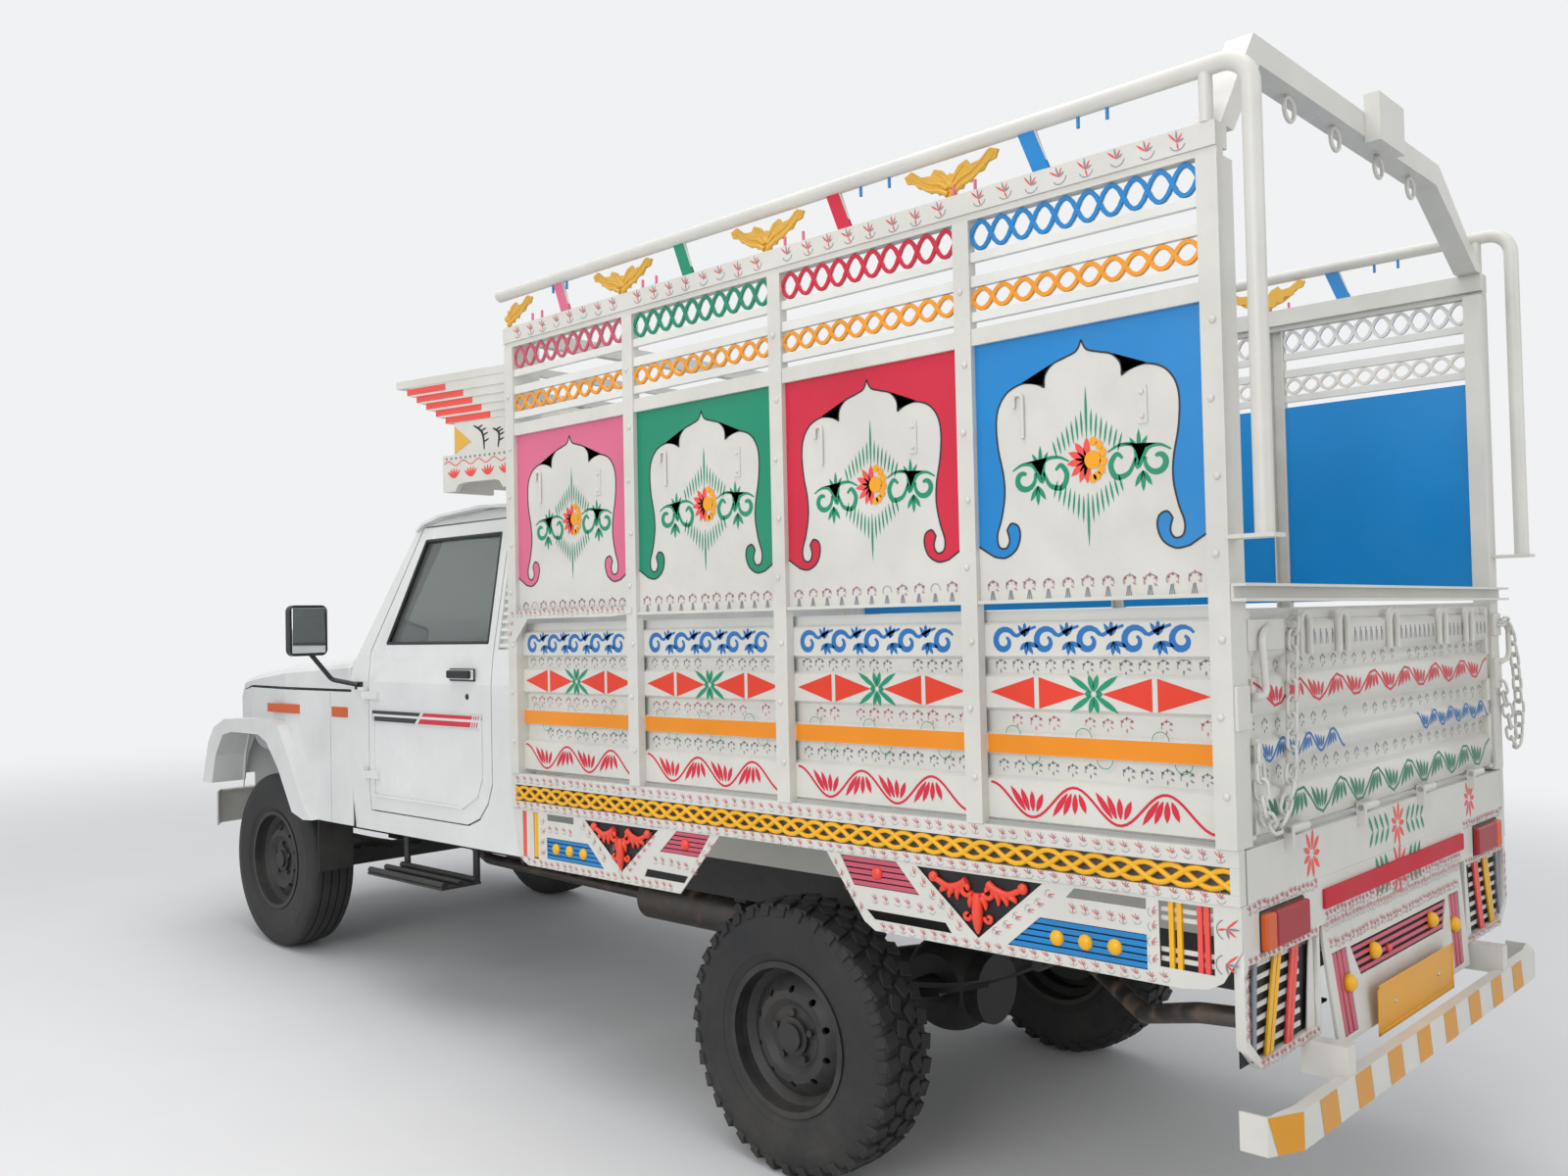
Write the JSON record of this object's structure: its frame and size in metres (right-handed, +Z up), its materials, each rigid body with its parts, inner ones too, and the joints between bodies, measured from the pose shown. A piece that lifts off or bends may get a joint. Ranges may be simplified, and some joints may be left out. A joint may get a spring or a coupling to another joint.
{
  "type": "light cargo truck with a tall painted body",
  "caption": "Light cargo truck, two-door bonneted cab, tall decorated steel cargo body with lattices and painted arches.",
  "frame": {"origin": "on the ground under the middle of the truck's length and width", "axes": "+X to the truck's left, +Y rearwards, +Z up"},
  "size_m": [2.1, 5.0013, 2.8117],
  "materials": {
    "cab_paint": "gloss",
    "body_paint": "satin",
    "chassis_black": "matte",
    "cast": "matte",
    "tyre": "matte",
    "glass": "clear",
    "black_plastic": "matte",
    "seat_cloth": "matte",
    "lamp_red": "gloss",
    "lamp_clear": "gloss",
    "rubber": "matte",
    "galvanised": "satin"
  },
  "bodies": {
    "truck": {"chassis_frame": "chassis_black", "engine_block": "cast", "leaf_springs": "chassis_black", "front_axle": "chassis_black", "rear_axle": "chassis_black", "propshaft": "chassis_black", "fuel_tank": "chassis_black", "exhaust": "galvanised", "cab_shell": "cab_paint", "cab_glass": "glass", "front_wings": "cab_paint", "front_fascia": "cab_paint", "headlamps": "lamp_clear", "front_bumper": "body_paint", "seat": "seat_cloth", "dashboard": "black_plastic", "steering_wheel": "black_plastic", "mirrors": "black_plastic", "footsteps": "chassis_black", "mudflaps": "rubber", "cargo_deck": "body_paint", "base_rails": "body_paint", "side_boards": "body_paint", "side_posts": "body_paint", "side_panels": "body_paint", "side_lattices": "body_paint", "top_rails": "body_paint", "pipe_rails": "body_paint", "post_ornaments": "body_paint", "front_wall": "body_paint", "headboard": "body_paint", "crown": "body_paint", "rear_hoop": "body_paint", "rear_bar": "body_paint", "rear_panel": "body_paint", "tail_lamps": "lamp_red", "rear_grilles": "body_paint", "side_skirts": "body_paint", "rear_bumper": "body_paint"},
    "bonnet": {"bonnet": "cab_paint"},
    "door_left": {"door_left": "cab_paint", "door_glass_left": "glass"},
    "door_right": {"door_right": "cab_paint", "door_glass_right": "glass"},
    "tailgate": {"tailgate": "body_paint"},
    "knuckle_left": {"knuckle_left": "cast"},
    "knuckle_right": {"knuckle_right": "cast"},
    "front_wheel_left": {"front_tyre_left": "tyre", "front_rim_left": "chassis_black"},
    "rear_wheel_left": {"rear_tyre_left": "tyre", "rear_rim_left": "chassis_black"},
    "front_wheel_right": {"front_tyre_right": "tyre", "front_rim_right": "chassis_black"},
    "rear_wheel_right": {"rear_tyre_right": "tyre", "rear_rim_right": "chassis_black"}
  },
  "joints": [
    {"name": "bonnet_hinge", "type": "hinge", "parent": "truck", "child": "bonnet", "pos_m": [0, -1.25743, 1.26276], "axis": [-1, 0, 0], "range_deg": [0, 55]},
    {"name": "door_left_hinge", "type": "hinge", "parent": "truck", "child": "door_left", "pos_m": [0.814, -1.09977, 0.98663], "axis": [0, 0.0523, -0.9986], "range_deg": [0, 62]},
    {"name": "door_right_hinge", "type": "hinge", "parent": "truck", "child": "door_right", "pos_m": [-0.814, -1.09977, 0.98663], "axis": [0, -0.0523, 0.9986], "range_deg": [0, 62]},
    {"name": "tailgate_hinge", "type": "hinge", "parent": "truck", "child": "tailgate", "pos_m": [0, 2.39458, 1.10968], "axis": [-1, 0, 0], "range_deg": [0, 90]},
    {"name": "steer_left", "type": "hinge", "parent": "truck", "child": "knuckle_left", "pos_m": [0.6, -1.9314, 0.368], "axis": [0, -0.0523, 0.9986], "range_deg": [-30, 30]},
    {"name": "steer_right", "type": "hinge", "parent": "truck", "child": "knuckle_right", "pos_m": [-0.6, -1.9314, 0.368], "axis": [0, -0.0523, 0.9986], "range_deg": [-30, 30]},
    {"name": "front_wheel_left_spin", "type": "hinge", "parent": "knuckle_left", "child": "front_wheel_left", "pos_m": [0.68, -1.9314, 0.368], "axis": [1, 0, 0], "continuous": true},
    {"name": "rear_wheel_left_spin", "type": "hinge", "parent": "truck", "child": "rear_wheel_left", "pos_m": [0.68, 1.0826, 0.368], "axis": [1, 0, 0], "continuous": true},
    {"name": "front_wheel_right_spin", "type": "hinge", "parent": "knuckle_right", "child": "front_wheel_right", "pos_m": [-0.68, -1.9314, 0.368], "axis": [1, 0, 0], "continuous": true},
    {"name": "rear_wheel_right_spin", "type": "hinge", "parent": "truck", "child": "rear_wheel_right", "pos_m": [-0.68, 1.0826, 0.368], "axis": [1, 0, 0], "continuous": true}
  ],
  "couplings": [
    {"joint": "steer_right", "follows": "steer_left", "ratio": 1}
  ]
}
